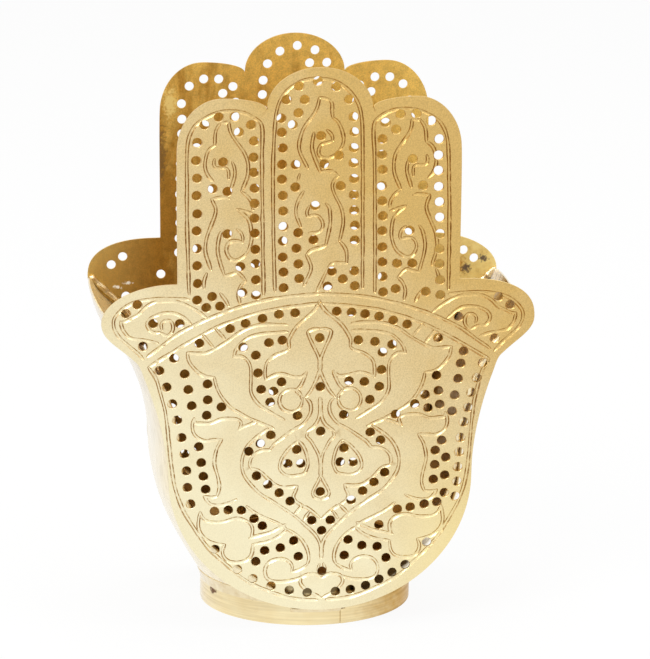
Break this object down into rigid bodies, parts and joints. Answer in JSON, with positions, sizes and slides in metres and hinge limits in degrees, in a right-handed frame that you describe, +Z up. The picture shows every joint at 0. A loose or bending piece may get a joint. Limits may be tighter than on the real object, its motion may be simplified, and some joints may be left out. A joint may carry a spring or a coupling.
{
  "type": "tealight holder",
  "caption": "Brass hamsa tealight holder: two pierced and engraved hand plates joined by bulged side walls on a round foot ring, open at the top for a candle.",
  "frame": {"origin": "middle of the foot ring, on the surface that the holder stands on", "axes": "+Z up, +X to the right hand of someone facing the front plate, the front plate faces -Y"},
  "size_m": [0.1122, 0.0576, 0.1482],
  "materials": {
    "engraved_brass": "satin brushed sheet brass, pierced and engraved",
    "sheet_brass": "chased sheet brass, satin",
    "ring_brass": "brushed brass strip",
    "solder": "hand-run solder bead, dull and lumpy"
  },
  "bodies": {
    "root": {"front_hand": "engraved_brass", "rear_hand": "engraved_brass", "left_side_wall": "sheet_brass", "right_side_wall": "sheet_brass", "base_ring": "ring_brass", "base_floor": "ring_brass", "front_left_seam_solder": "solder", "front_right_seam_solder": "solder", "rear_left_seam_solder": "solder", "rear_right_seam_solder": "solder", "left_wall_foot_solder": "solder", "right_wall_foot_solder": "solder", "front_foot_solder": "solder", "rear_foot_solder": "solder", "floor_solder": "solder", "ring_seam_solder": "solder"}
  },
  "joints": []
}
